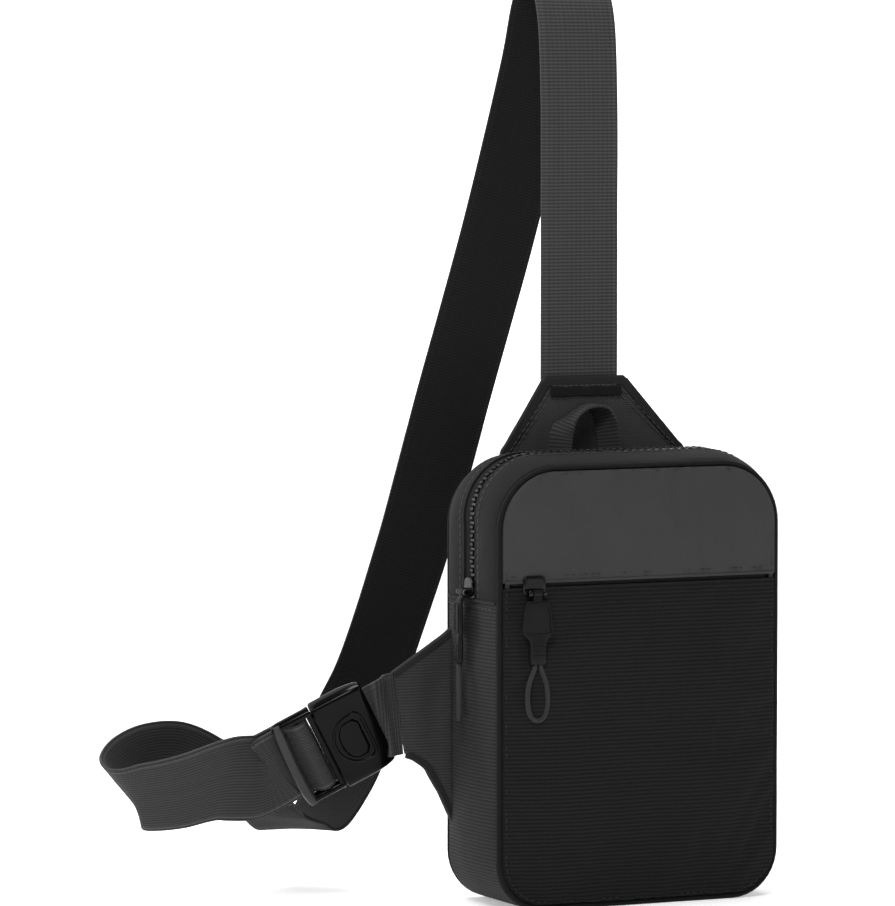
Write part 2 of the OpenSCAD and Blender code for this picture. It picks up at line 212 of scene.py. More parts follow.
def webbing(name, base, cross=True, pitch=1.5, edge=1.5, contrast=0.28):
    """Webbing: u is metres along, v runs 0 to 1 across."""
    m = Nodes(name)
    vec, u, v = m.uv()
    wob = m.noise(vec, 120, 2)
    across = m.math('MULTIPLY', v, 0.038)
    if cross:
        a = m.wave(m.math('MULTIPLY_ADD', wob, 0.0006, u), pitch)
        b = m.wave(across, 2.2)
        h = m.math('MULTIPLY_ADD', a, 0.8, m.math('MULTIPLY', b, 0.2))
    else:
        a = m.wave(m.math('MULTIPLY_ADD', wob, 0.0002, across), pitch)
        b = m.wave(u, 0.9)
        h = m.math('MULTIPLY_ADD', a, 0.75, m.math('MULTIPLY', b, 0.25))
    fibre = m.noise(vec, 900, 2, 0.7)
    cloud = m.noise(vec, 16, 3)
    rim = m.math('ABSOLUTE', m.math('SUBTRACT', v, 0.5))
    band = m.math('MULTIPLY', m.math('GREATER_THAN', rim, 0.44), m.math('LESS_THAN', rim, 0.462))
    tone = m.math('MULTIPLY_ADD', h, contrast * 2, 1 - contrast)
    tone = m.math('MULTIPLY', tone, m.math('MULTIPLY_ADD', fibre, 0.4, 0.8))
    tone = m.math('MULTIPLY', tone, m.math('MULTIPLY_ADD', cloud, 0.24, 0.88))
    tone = m.math('MULTIPLY', tone, m.math('MULTIPLY_ADD', band, edge - 1, 1.0))
    comb = m.t.nodes.new("ShaderNodeCombineColor")
    for s, c in zip(comb.inputs[:3], base[:3]):
        m.put(m.math('MULTIPLY', tone, c), s)
    m.put(comb.outputs[0], m.bsdf.inputs["Base Color"])
    m.bsdf.inputs["Roughness"].default_value = 0.7
    m.bsdf.inputs["Sheen Weight"].default_value = 0.02
    m.bsdf.inputs["Specular IOR Level"].default_value = 0.1
    m.put(m.bump(m.math('MULTIPLY_ADD', fibre, 0.3, h), 0.4, 0.3 * MM), m.bsdf.inputs["Normal"])
    return m.mat


def hard(name, base, rough, wear=0.25, metallic=0.0, scale=180, bump=0.02, coat=0.0, shine=0.3):
    """Moulded plastic, enamel or rubber with faint mottling and scuffs."""
    m = Nodes(name)
    vec = m.obj()[0]
    a, b = m.noise(vec, scale, 4), m.noise(vec, scale * 7, 2)
    scuff = m.math('SUBTRACT', m.noise(vec, scale * 1.7, 5, 0.7), 0.56, clamp=True)
    m.put(m.mix(m.math('MULTIPLY', scuff, 2.0 * wear, clamp=True), base,
                tuple(min(1, c * 2.2 + 0.012) for c in base[:3]) + (1,)), m.bsdf.inputs["Base Color"])
    m.put(m.math('MULTIPLY_ADD', a, 0.14, rough - 0.05), m.bsdf.inputs["Roughness"])
    m.bsdf.inputs["Metallic"].default_value = metallic
    m.bsdf.inputs["Coat Weight"].default_value = coat
    m.bsdf.inputs["Specular IOR Level"].default_value = shine
    m.put(m.bump(b, bump, 0.2 * MM), m.bsdf.inputs["Normal"])
    return m.mat


M = {
    "shell": cloth("shell_twill", grey(0.038), "twill", 1.1, 0.16, 0.22, mottle=0.08),
    "gusset": cloth("gusset_twill", grey(0.01), "twill", 1.1, 0.18, 0.25, mottle=0.1),
    "ribbed": cloth("ribbed_cloth", grey(0.009), "ribs", 1.75, 0.45, 0.5, sheen=0.02, mottle=0.1),
    "side": cloth("side_ribbed_cloth", grey(0.021), "ribs", 1.6, 0.4, 0.5, mottle=0.1),
    "wing": cloth("wing_ribbed_cloth", grey(0.031), "ribs", 1.3, 0.35, 0.5, mottle=0.12),
    "tab": cloth("tab_ballistic", grey(0.042), "basket", 0.85, 0.4, 0.6, mottle=0.15, dist=0.3),
    "lining": cloth("lining_plain", grey(0.1), "plain", 0.9, 0.2, 0.3),
    "back": cloth("back_mesh", grey(0.03), "basket", 2.4, 0.5, 0.8, dist=0.5),
    "piping": cloth("piping_cloth", grey(0.008), "twill", 0.8, 0.3, 0.3, sheen=0.03),
    "binding": cloth("binding_tape", grey(0.02), "ribs", 0.9, 0.3, 0.4),
    "tape": cloth("zipper_tape", grey(0.009), "twill", 0.8, 0.35, 0.4),
    "strap": webbing("strap_webbing", grey(0.038), True, 1.55, 1.25, 0.42),
    # same strap webbing made darker for its run behind the bag: painted shade
    "strap_painted_shade": webbing("strap_webbing_painted_shade", grey(0.009), True, 1.3, 1.4, 0.45),
    "loop": webbing("loop_webbing", grey(0.03), False, 1.3, 1.9, 0.4),
    "stub": webbing("stub_webbing", grey(0.034), True, 1.5, 1.2, 0.45),
    "handle": webbing("handle_webbing", grey(0.03), True, 1.6, 1.3, 0.5),
    "thread": hard("thread", grey(0.05), 0.7, 0.1, bump=0.1),
    "thread_dark": hard("thread_dark", grey(0.016), 0.75, 0.1, bump=0.1),
    "teeth": hard("zipper_teeth", grey(0.008), 0.34, 0.3),
    "metal": hard("slider_enamel", grey(0.003), 0.16, 0.2, shine=0.25),
    "grip": hard("pull_rubber", grey(0.006), 0.45, 0.2, shine=0.12, bump=0.12),
    "cord": cloth("pull_cord", grey(0.03), "twill", 0.7, 0.45, 0.6),
    "gloss": hard("buckle_gloss", grey(0.0015), 0.14, 0.04, shine=0.1),
    "satin": hard("buckle_satin", grey(0.014), 0.28, 0.1),
}


# ---------------------------------------------------------------- mesh helpers, all in millimetres
def piece(name, verts, faces, mat, body, uv=None, nodes=(), smooth=True, angle=40):
    me = bpy.data.meshes.new(name)
    me.from_pydata([Vector(v) * MM for v in verts], [], faces)
    me.materials.append(mat)
    layer = me.uv_layers.new(name="UVMap")
    for lp in me.loops:
        if uv:
            layer.data[lp.index].uv = uv[lp.vertex_index]
        else:
            c = me.vertices[lp.vertex_index].co
            layer.data[lp.index].uv = (c.x + c.y * 0.7, c.z + c.y * 0.4)
    bm = bmesh.new()
    bm.from_mesh(me)
    bmesh.ops.recalc_face_normals(bm, faces=bm.faces)
    bm.to_mesh(me)
    bm.free()
    for p in me.polygons:
        p.use_smooth = smooth
    if smooth and angle:
        me.set_sharp_from_angle(angle=math.radians(angle))
    o = link(bpy.data.objects.new(name, me))
    if body:
        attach(o, body)
    if nodes:
        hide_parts(*nodes)
    return o


def mod(o, kind, **kw):
    m = o.modifiers.new(kind.lower(), kind)
    for k, v in kw.items():
        setattr(m, k, v)
    return m


def bake(o):
    """Applies the piece's modifiers, keeping its mesh."""
    dg = bpy.context.evaluated_depsgraph_get()
    me = bpy.data.meshes.new_from_object(o.evaluated_get(dg))
    o.modifiers.clear()
    o.data = me
    return o


def grid_faces(nu, nv, close_u=False, close_v=False, base=0):
    f = []
    for i in range(nu if close_u else nu - 1):
        for j in range(nv if close_v else nv - 1):
            a, b = base + i * nv + j, base + ((i + 1) % nu) * nv + j
            c, d = base + ((i + 1) % nu) * nv + (j + 1) % nv, base + i * nv + (j + 1) % nv
            f.append((a, b, c, d))
    return f


def sheet_mesh(nu, nv, place, thick, uvf):
    """Closed thin solid over a grid. place(i, j) gives the point and the outward normal."""
    outer, inner, uv = [], [], []
    for i in range(nu):
        for j in range(nv):
            p, n = place(i, j)
            outer.append(p)
            inner.append(p - n * thick)
            uv.append(uvf(i, j))
    k = nu * nv
    f = grid_faces(nu, nv) + [tuple(reversed([x + k for x in q])) for q in grid_faces(nu, nv)]
    edge = [i * nv for i in range(nu)] + [(nu - 1) * nv + j for j in range(1, nv)] \
        + [i * nv + nv - 1 for i in range(nu - 2, -1, -1)] + [j for j in range(nv - 2, 0, -1)]
    for a, b in zip(edge, edge[1:] + edge[:1]):
        f.append((a, b, b + k, a + k))
    return outer + inner, f, uv + uv


def lerp(a, b, t):
    return a + (b - a) * t


def smooth(a, b, x):
    t = max(0.0, min(1.0, (x - a) / (b - a)))
    return t * t * (3 - 2 * t)


def nz3(x, y, z, s=1.0):
    return noise.noise(Vector((x, y, z)) * s)


def curve(P, n):
    """Catmull-Rom curve through rows of any length."""
    out = []
    g = lambda i: P[max(0, min(len(P) - 1, i))]
    for i in range(len(P) - 1):
        a, b, c, d = g(i - 1), g(i), g(i + 1), g(i + 2)
        for k in range(n):
            t = k / n
            out.append([0.5 * (2 * q + (r - p) * t + (2 * p - 5 * q + 4 * r - s) * t * t
                               + (3 * q - p - 3 * r + s) * t ** 3) for p, q, r, s in zip(a, b, c, d)])
    return out + [list(P[-1])]


def frames_on(S):
    """Point, width direction, normal and distance along for each row of a ribbon's curve."""
    out, run = [], 0.0
    for i, r in enumerate(S):
        c = Vector(r[:3])
        t = (Vector(S[min(i + 1, len(S) - 1)][:3]) - Vector(S[max(i - 1, 0)][:3])).normalized()
        w = Vector(r[3:6])
        w = (w - w.dot(t) * t).normalized()
        if i:
            run += (c - Vector(S[i - 1][:3])).length
        out.append((c, w, t.cross(w), run))
    return out


def ribbon(name, P, width, thick, mat, body, nodes=(), n=10, cup=0.0, u0=0.0):
    F = frames_on(curve(P, n))
    h, e = width / 2, thick / 2
    prof = []
    for k in range(11):
        a = -1 + 2 * k / 10
        prof.append((a * (h - 0.5), e + cup * (a * a - 0.5)))
    prof += [(h - 0.15, e * 0.8 + cup * 0.5), (h, 0.0 + cup * 0.5), (h - 0.15, -e * 0.8 + cup * 0.5)]
    for k in range(11):
        a = 1 - 2 * k / 10
        prof.append((a * (h - 0.5), -e + cup * (a * a - 0.5)))
    prof += [(0.15 - h, -e * 0.8 + cup * 0.5), (-h, 0.0 + cup * 0.5), (0.15 - h, e * 0.8 + cup * 0.5)]
    m = len(prof)
    V, UV = [], []
    for c, w, nn, run in F:
        for a, b in prof:
            wob = 0.15 * nz3(run, a * 3, 1.7, 0.04)
            V.append(c + w * a + nn * (b + wob))
            UV.append(((u0 + run) * MM, (a + h) / width))
    faces = grid_faces(len(F), m, close_v=True)
    faces += [tuple(range(m)), tuple(reversed(range((len(F) - 1) * m, len(F) * m)))]
    o = piece(name, V, faces, mat, body, UV, nodes, angle=60)
    o["run"] = F[-1][3]
    return o, F


def tube(name, P, d, mat, body, nodes=(), n=6, s=12, closed=False, wob=0.0, up=Vector((0, 1,
        0))):
    S = [Vector(r[:3]) for r in (curve(P, n) if n > 1 else P)]
    if closed:
        S = S[:-1] if (S[0] - S[-1]).length < 0.01 else S
    V, UV, run = [], [], 0.0
    for i, c in enumerate(S):
        a = S[(i - 1) % len(S)] if closed else S[max(i - 1, 0)]
        b = S[(i + 1) % len(S)] if closed else S[min(i + 1, len(S) - 1)]
        t = (b - a).normalized()
        u = (up - up.dot(t) * t).normalized()
        v = t.cross(u)
        if i:
            run += (c - S[i - 1]).length
        for k in range(s):
            g = 2 * math.pi * k / s
            r = d / 2 * (1 + wob * nz3(run * 0.4, k, 0.3))
            V.append(c + (u * math.cos(g) + v * math.sin(g)) * r)
            UV.append((run * MM, k / s * math.pi * d * MM))
    f = grid_faces(len(S), s, close_u=closed, close_v=True)
    if not closed:
        f += [tuple(range(s)), tuple(reversed(range((len(S) - 1) * s, len(S) * s)))]
    return piece(name, V, f, mat, body, UV, nodes, angle=60), S, run


def stitches(name, pts, normals, mat, body, length=2.5, gap=0.9, r=0.3, lift=0.1):
    """A row of short raised threads along a polyline, as one mesh."""
    V, F = [], []
    dist = [0.0]
    for a, b in zip(pts, pts[1:]):
        dist.append(dist[-1] + (b - a).length)

    def at(s):
        for i in range(len(pts) - 1):
            if dist[i + 1] >= s or i == len(pts) - 2:
                t = (s - dist[i]) / max(1e-6, dist[i + 1] - dist[i])
                return pts[i].lerp(pts[i + 1], t), normals[i].lerp(normals[i + 1], t).normalized()
    s = gap
    while s + length < dist[-1]:
        ring = []
        for t, k, z in ((0, 0.35, -0.25), (0.18, 0.9, 0.2), (0.5, 1.0, 0.35), (0.82, 0.9, 0.2), (1, 0.35,
                -0.25)):
            p, n = at(s + length * t)
            q = at(s + length * min(1, t + 0.05))[0] - at(s + length * max(0, t - 0.05))[0]
            side = q.normalized().cross(n)
            c = p + n * (lift + z * r)
            ring.append([c + side * r * k * math.cos(g) + n * r * k * 0.8 * math.sin(g)
                         for g in [2 * math.pi * x / 6 for x in range(6)]])
        b = len(V)
        for q in ring:
            V += q
        F += grid_faces(5, 6, close_v=True, base=b)
        F += [tuple(range(b, b + 6)), tuple(reversed(range(b + 24, b + 30)))]
        s += length + gap
    return piece(name, V, F, mat, body, None, angle=0)


def loft(name, rings, mat, body, nodes=(), xf=None, sub=0, angle=40, caps=True):
    V = [Vector(p) for r in rings for p in r]
    if xf:
        V = [xf(p) for p in V]
    m = len(rings[0])
    f = grid_faces(len(rings), m, close_v=True)
    if caps:
        f += [tuple(range(m)), tuple(reversed(range((len(rings) - 1) * m, len(rings) * m)))]
    o = piece(name, V, f, mat, body, None, nodes, angle=angle)
    if sub:
        mod(o, 'SUBSURF', levels=sub, render_levels=sub)
    return o


def prism(name, outline, z0, z1, mat, body, nodes=(), xf=None, bevel=0.6, seg=3, crown=0.0):
    """Plate with a rounded edge. outline is a list of (x, y); z0 to z1 is its thickness."""
    cx = sum(p[0] for p in outline) / len(outline)
    cy = sum(p[1] for p in outline) / len(outline)

    def scaled(d):
        out = []
        k = len(outline)
        for i, p in enumerate(outline):
            a, b = outline[i - 1], outline[(i + 1) % k]
            t = Vector((b[0] - a[0], b[1] - a[1])).normalized()
            out.append((p[0] - t.y * d, p[1] + t.x * d))
        return out
    area2 = sum(outline[i - 1][0] * p[1] - p[0] * outline[i - 1][1] for i, p in enumerate(outline))
    sg = 1 if area2 > 0 else -1
    turns = [math.pi / 2 * (1 - q / seg) for q in range(seg + 1)]
    bottom = [[(x, y, z0 + bevel * (1 - math.sin(g))) for x, y in scaled(sg * bevel * (1 - math.cos(g)))]
              for g in turns]
    top = [[(x, y, z1 - bevel * (1 - math.cos(g))) for x, y in scaled(sg * bevel * (1 - math.sin(g)))]
           for g in turns]
    steps = 4
    inner = []
    last = top[-1]
    for q in range(1, steps):
        k = 1 - q / steps
        inner.append([(cx + (x - cx) * k, cy + (y - cy) * k, z1 + crown * (1 - k * k)) for x, y, z in last])
    rings = bottom + top + inner
    return loft(name, rings, mat, body, nodes, xf, angle=50)


def round_rect(x0, x1, y0, y1, r, n=5):
    out = []
    for cx, cy, a in ((x1 - r, y1 - r, 0), (x0 + r, y1 - r, 90), (x0 + r, y0 + r, 180), (x1 - r, y0 + r,
            270)):
        for k in range(n + 1):
            g = math.radians(a + 90 * k / n)
            out.append((cx + r * math.cos(g), cy + r * math.sin(g)))
    return out


# ---------------------------------------------------------------- floor
def stand(name, corners, glow):
    me = bpy.data.meshes.new(name)
    me.from_pydata(corners, [], [(0, 1, 2, 3)])
    o = link(bpy.data.objects.new(name, me))
    fm = Nodes(name + "_paper")
    fm.put(fm.mix(fm.noise(fm.obj()[0], 6, 3), (0.9, 0.9, 0.9, 1), (0.94, 0.94, 0.94, 1)),
            fm.bsdf.inputs["Base Color"])
    fm.bsdf.inputs["Roughness"].default_value = 0.9
    fm.bsdf.inputs["Emission Color"].default_value = (1, 1, 1, 1)
    fm.bsdf.inputs["Emission Strength"].default_value = glow
    me.materials.append(fm.mat)


stand("floor", [(-6, -4, 0), (6, -4, 0), (6, 3.0, 0), (-6, 3.0, 0)], FLOOR_GLOW)
stand("backdrop", [(-6, 3.0, -0.5), (6, 3.0, -0.5), (6, 3.0, 4), (-6, 3.0, 4)], BACKDROP_GLOW)

# ---------------------------------------------------------------- bag body
HW, H, RT, RB, SEAM, PZ = 69.0, 196.0, 28.0, 22.0, 136.0, 143.8


def arc_path(cx, cz, r, a0, a1, step=2.5):
    n = max(3, int(abs(math.radians(a1 - a0)) * r / step))
    return [(cx + r * math.cos(math.radians(lerp(a0, a1, i / n))), cz + r * math.sin(math.radians(lerp(a0,
            a1, i / n))),
             math.cos(math.radians(lerp(a0, a1, i / n))), math.sin(math.radians(lerp(a0, a1,
                     i / n)))) for i in range(n + 1)]


def line_path(x0, z0, x1, z1, nx, nz, step=2.5):
    n = max(1, int(math.hypot(x1 - x0, z1 - z0) / step))
    return [(lerp(x0, x1, i / n), lerp(z0, z1, i / n), nx, nz) for i in range(n + 1)]


def join(*parts):
    out = []
    for p in parts:
        for q in p:
            if not out or math.hypot(out[-1][0] - q[0], out[-1][1] - q[1]) > 0.05:
                out.append(q)
    return out


TOP_U = join(line_path(-HW, SEAM, -HW, H - RT, -1, 0), arc_path(RT - HW, H - RT, RT, 180, 90),
             line_path(RT - HW, H, HW - RT, H, 0, 1), arc_path(HW - RT, H - RT, RT, 90, 0),
             line_path(HW, H - RT, HW, SEAM, 1, 0))
LOW_U = join(line_path(-HW, SEAM, -HW, RB, -1, 0), arc_path(RB - HW, RB, RB, 180, 270),
             line_path(RB - HW, 0, HW - RB, 0, 0, -1), arc_path(HW - RB, RB, RB, 270, 360),
             line_path(HW, RB, HW, SEAM, 1, 0))


def hump(y, a, b):
    t = (y - a) / (b - a)
    return math.sin(math.pi * t) ** 0.75 if 0 < t < 1 else 0.0


def bulge(x, z, nx, nz, y):
    """How far the gusset stands proud of the flat ring at a point."""
    whole = hump(y, -24.1, 24.1)
    side_up = 1.5 * hump(y, -24.1, -3) + 2.7 * hump(y, 0.5, 24.1) + 0.9 * math.exp(-((y + 1) / 5.5) ** 2)
    k = smooth(136, 104, z)
    side = lerp(side_up, 2.6 * whole, k) * smooth(4, 40, z)
    return abs(nx) * side + max(nz, 0) * 3.9 * whole


def strip(name, path, y0, y1, ny, mat, node, off=0.0, thick=1.2, amp=0.22, lips=(), vscale=1.0):
    run = [0.0]
    for a, b in zip(path, path[1:]):
        run.append(run[-1] + math.hypot(a[0] - b[0], a[1] - b[1]))

    def place(i, j):
        x, z, nx, nz = path[i]
        y = lerp(y0, y1, j / (ny - 1))
        d = bulge(x, z, nx, nz, y) - off
        for pos, w, h in lips:
            d += h * math.exp(-((y - pos) / w) ** 2)
        edge = min(1.0, (y - y0) / 2.0, (y1 - y) / 2.0)
        if nz > -0.5:
            d += amp * edge * (nz3(x * 0.05, y * 0.09, z * 0.05) + 0.5 * nz3(x * 0.14, y * 0.2, z * 0.14))
        if z < 1 or nz < -0.6:
            d = min(d, 0.0)
        p = Vector((x + nx * d, y, max(0.0, z + nz * d)))
        return p, Vector((nx, 0, nz))
    V, F, UV = sheet_mesh(len(path), ny, place, thick, lambda i, j: (lerp(y0, y1, j / (ny - 1)) * MM,
            run[i] * MM))
    return piece(name, V, F, mat, "bag", UV, (node,), angle=50)


rear = strip("rear_gusset_cloth", TOP_U, 4.3, 24.1, 15, M["gusset"], "rear_gusset",
             lips=((5.0, 0.7, 0.55),))
band = strip("front_gusset_cloth", TOP_U, -24.1, -6.3, 14, M["gusset"], "front_gusset_band",
             lips=((-7.0, 0.7, 0.55),))
low = strip("lower_gusset_cloth", LOW_U, -24.1, 24.1, 27, M["side"], "lower_gusset")
tape_f = strip("main_tape_front_cloth", TOP_U, -6.6, -1.75, 5, M["tape"],
        "main_zipper_tape_front",
               off=0.75, thick=0.7, amp=0.0)
tape_r = strip("main_tape_rear_cloth", TOP_U, -0.25, 4.6, 5, M["tape"],
        "main_zipper_tape_rear",
               off=0.75, thick=0.7, amp=0.0)


def on_gusset(path, y, lift):
    pts, nor = [], []
    for x, z, nx, nz in path:
        d = bulge(x, z, nx, nz, y) + lift
        pts.append(Vector((x + nx * d, y, z + nz * d)))
        nor.append(Vector((nx, 0, nz)))
    return pts, nor


for nm, y in (("rear", 7.2), ("front", -9.2)):
    p, n = on_gusset(TOP_U, y, 0.15)
    stitches("topstitch_" + nm, p, n, M["thread"], "bag", 2.4, 0.9, 0.26, 0.02)
# side seams where the upper gusset meets the lower one
for sx in (-1, 1):
    pts = [Vector((sx * (HW + bulge(sx * HW, SEAM, sx, 0, y) + 0.25), y, SEAM)) for y in
           [lerp(-23.8, 23.8, k / 30) for k in range(31)]]
    tube("side_seam_%s" % ("left" if sx < 0 else "right"), pts, 1.3, M["binding"], "bag", n=1,
            s=8,
         up=Vector((0, 0, 1)))
    low_pts = [p + Vector((sx * 0.05, 0, -2.6)) for p in pts[1:-1]]
    stitches("side_seam_stitch_%s" % ("left" if sx < 0 else "right"), low_pts, [Vector((sx, 0,
            0))] * len(low_pts),
             M["thread"], "bag", 2.2, 0.9, 0.24, 0.02)

# main zipper teeth, moulded one by one on the two tapes
V, F = [], []
path = [q for q in TOP_U if not (q[1] < SEAM + 4 and abs(q[0]) > 60)]
run = [0.0]
for a, b in zip(path, path[1:]):
    run.append(run[-1] + math.hypot(a[0] - b[0], a[1] - b[1]))
count = int(run[-1] / 1.9)
for k in range(count + 1):
    s = k * run[-1] / count
    i = max(j for j in range(len(run)) if run[j] <= s + 1e-6)
    i = min(i, len(path) - 2)
    t = (s - run[i]) / (run[i + 1] - run[i])
    x, z, nx, nz = [lerp(a, b, t) for a, b in zip(path[i], path[i + 1])]
    ln = math.hypot(nx, nz)
    nx, nz = nx / ln, nz / ln
    side = -1 if k % 2 else 1
    yc = -1.0
    d = bulge(x, z, nx, nz, yc) - 0.75
    c, nrm, tan = Vector((x + nx * d, yc, z + nz * d)), Vector((nx, 0, nz)), Vector((-nz, 0, nx))
    b0 = len(V)
    # foot on its own tape, waist, and a head that reaches over the middle
    for yy, w, h in ((2.35, 0.62, 0.55), (1.5, 0.72, 0.85), (0.3, 0.5, 0.95), (-0.35, 0.8, 0.95), (-0.85,
            0.55, 0.7)):
        for a in range(8):
            g = 2 * math.pi * a / 8
            cs, sn = math.cos(g), math.sin(g)
            q = Vector((abs(cs) ** 0.6 * (1 if cs > 0 else -1) * w, 0,
                    abs(sn) ** 0.6 * (1 if sn > 0 else -1) * h / 2))
            V.append(c + tan * q.x + Vector((0, side * yy, 0)) + nrm * (q.z + h / 2))
    F += grid_faces(5, 8, close_v=True, base=b0)
    F += [tuple(range(b0, b0 + 8)), tuple(reversed(range(b0 + 32, b0 + 40)))]
piece("main_teeth_moulded", V, F, M["teeth"], "bag", None, ("main_zipper_teeth",), angle=45)


# ---------------------------------------------------------------- front and back panels
def row_half(z, hw, z0, z1, rt, rb):
    if z < z0 + rb:
        return hw - rb + math.sqrt(max(0.0, rb * rb - (z0 + rb - z) ** 2))
    if z > z1 - rt:
        return hw - rt + math.sqrt(max(0.0, rt * rt - (z - z1 + rt) ** 2))
    return hw


def rows(a, b, n, fine_low, fine_high):
    out = []
    for i in range(n):
        t = i / (n - 1)
        if fine_low:
            t = 1 - math.cos(t * math.pi / 2)
        elif fine_high:
            t = math.sin(t * math.pi / 2)
        out.append(lerp(a, b, t))
    return out


def puff(o, rim, push, cap, pressure, frames, shrink):
    """Cloth simulation of a panel held at its sewn rim, pressed outwards by the padding behind it."""
    vg = o.vertex_groups.new(name="rim")
    vg.add(rim, 1.0, 'REPLACE')
    rest = [v.co.copy() for v in o.data.vertices]
    c = o.modifiers.new("cloth", 'CLOTH')
    st = c.settings
    st.vertex_group_mass = "rim"
    st.quality = 6
    st.mass = 0.25
    st.tension_stiffness = st.compression_stiffness = 12
    st.shear_stiffness = 6
    st.bending_stiffness = 0.6
    st.shrink_min = shrink
    st.use_pressure = True
    st.uniform_pressure_force = pressure
    st.effector_weights.gravity = 0
    c.collision_settings.use_collision = False
    c.point_cache.frame_start, c.point_cache.frame_end = 1, frames
    scene.frame_start, scene.frame_end = 1, frames
    for f in range(1, frames + 1):
        scene.frame_set(f)
    dg = bpy.context.evaluated_depsgraph_get()
    got = [v.co.copy() for v in o.evaluated_get(dg).data.vertices]
    o.modifiers.remove(c)
    scene.frame_set(1)
    held = set(rim)
    for i, v in enumerate(o.data.vertices):
        if i in held:
            continue
        d = got[i] - rest[i]
        if d.length > cap * MM:
            d *= cap * MM / d.length
        v.co = rest[i] + d


def panel(name, z0, z1, rt, rb, y, out, nu, nv, crown, mat, nodes, thick=1.2, zc=None, sim=None,
        extra=None,
          hw=66.8):
    """Sewn panel in the X-Z plane. out is -1 for the front and 1 for the back."""
    lo, hi = max(z0, 2.7), min(z1, 193.3)
    zs = rows(lo, hi, nv, z0 <= 2.7, z1 >= 193.3)
    grid, uv = [], []
    for i in range(nu):
        for j in range(nv):
            z = zs[j]
            t = -1 + 2 * i / (nu - 1)
            t = math.sin(t * math.pi / 2) * 0.5 + t * 0.5
            h = row_half(z, hw, 2.7, 193.3, 25.5, 19.5)
            x = t * h
            q = (z - lo) / (hi - lo)
            c = crown * (1 - t ** 4) * math.sin(math.pi * min(1, max(0, q))) ** 0.7
            if extra:
                c += extra(x, z, t, q)
            edge = min(1.0, (1 - abs(t)) * 14, q * 14, (1 - q) * 14)
            c += edge * 0.25 * (nz3(x, 3.1, z, 0.045) + 0.5 * nz3(x, 9.1, z, 0.12))
            grid.append(Vector((x, y + out * c, z)))
            uv.append((x * MM, z * MM))
    me = bpy.data.meshes.new(name)
    me.from_pydata([v * MM for v in grid], [], grid_faces(nu, nv))
    o = link(bpy.data.objects.new(name, me))
    rim = [i * nv + j for i in range(nu) for j in range(nv) if i in (0, nu - 1) or j in (0, nv - 1)]
    if sim:
        bm = bmesh.new()
        bm.from_mesh(me)
        bm.faces.ensure_lookup_table()
        if bm.faces[0].normal.y * out < 0:
            bmesh.ops.reverse_faces(bm, faces=bm.faces)
        bm.to_mesh(me)
        bm.free()
        puff(o, rim, out, *sim)
    co = [v.co / MM for v in o.data.vertices]
    bpy.data.objects.remove(o)
    V, F, UV = sheet_mesh(nu, nv, lambda i, j: (co[i * nv + j], Vector((0, out, 0))), thick, lambda i,
            j: uv[i * nv + j])
    o = piece(name, V, F, mat, "bag", UV, nodes, angle=50)
    return o


def upper_extra(x, z, t, q):
    d = (z - 149.5) - 0.18 * (x + 60)
    r = 1.1 * math.exp(-(d / 2.6) ** 2) * smooth(-64, -58, x) * smooth(-22, -40, x)
    d2 = (z - 156) - 0.42 * (x + 60)
    return r + 0.5 * math.exp(-(d2 / 3.5) ** 2) * smooth(-62, -52, x) * smooth(-10, -35, x)


def lower_extra(x, z, t, q):
    r = 0.0
    for x0, z0, k, w, h in ((-30, 120, 0.5, 5, 0.35), (25, 60, -0.35, 7, 0.3), (-20, 40, 0.2, 8, 0.3)):
        d = (z - z0) - k * (x - x0)
        r += h * math.exp(-(d / w) ** 2) * math.exp(-((x - x0) / 32) ** 2)
    return r


up = panel("upper_panel_cloth", 145.1, 200, 25, 0, -27.2, -1, 61, 31, 2.6, M["shell"],
           ("front_upper_panel",), sim=(4.0, 2.0, 10, -0.012), extra=upper_extra)
lowp = panel("lower_panel_cloth", 0, 142.5, 0, 20, -27.2, -1, 61, 71, 1.4, M["ribbed"],
             ("front_lower_panel",), sim=(4.0, 2.0, 10, -0.012), extra=lower_extra)


def back_extra(x, z, t, q):
    r = -1.7 * math.exp(-(x / 2.2) ** 2) * smooth(10, 24, z) * smooth(168, 150, z)
    for zc in (60, 110):
        r -= 1.5 * math.exp(-((z - zc) / 2.0) ** 2) * smooth(60, 50, abs(x))
    return r


backp = panel("back_panel_padded", 0, 200, 25, 20, 26.6, 1, 67, 91, 3.2, M["back"],
        ("back_panel",),
              sim=(5.0, 3.0, 12, -0.01), extra=back_extra)


right = line_path(68, 22.3, 68, 167.7, 1, 0, 4)
O = join(arc_path(47, 22.3, 21, -90, 0, 3), right, arc_path(41, 167.7, 27, 0, 90, 3),
         line_path(41, 194.7, -41, 194.7, 0, 1, 4), arc_path(-41, 167.7, 27, 90, 180, 3),
         line_path(-68, 167.7, -68, 22.3, -1, 0, 4), arc_path(-47, 22.3, 21, 180, 270, 3),
         line_path(-47, 1.3, 46, 1.3, 0, -1, 4))
for nm, y in (("front_piping", -25.4), ("back_piping", 25.4)):
    pts = [Vector((x, y + 0.12 * nz3(x, y, z, 0.06), z)) for x, z, a, b in O]
    tube(nm + "_corded", pts, 2.5, M["piping"], "bag", (nm,), n=1, s=12, closed=True)
    out = -1 if y < 0 else 1
    # needle line where the piping is sewn to the panel
    p = [Vector((x - a * 2.6, y + out * 1.6, z - b * 2.6)) for x, z, a, b in O]
    stitches(nm + "_needle_line", p, [Vector((0, out, 0))] * len(p), M["thread_dark"], "bag",
             2.2, 1.0, 0.22, 0.25)

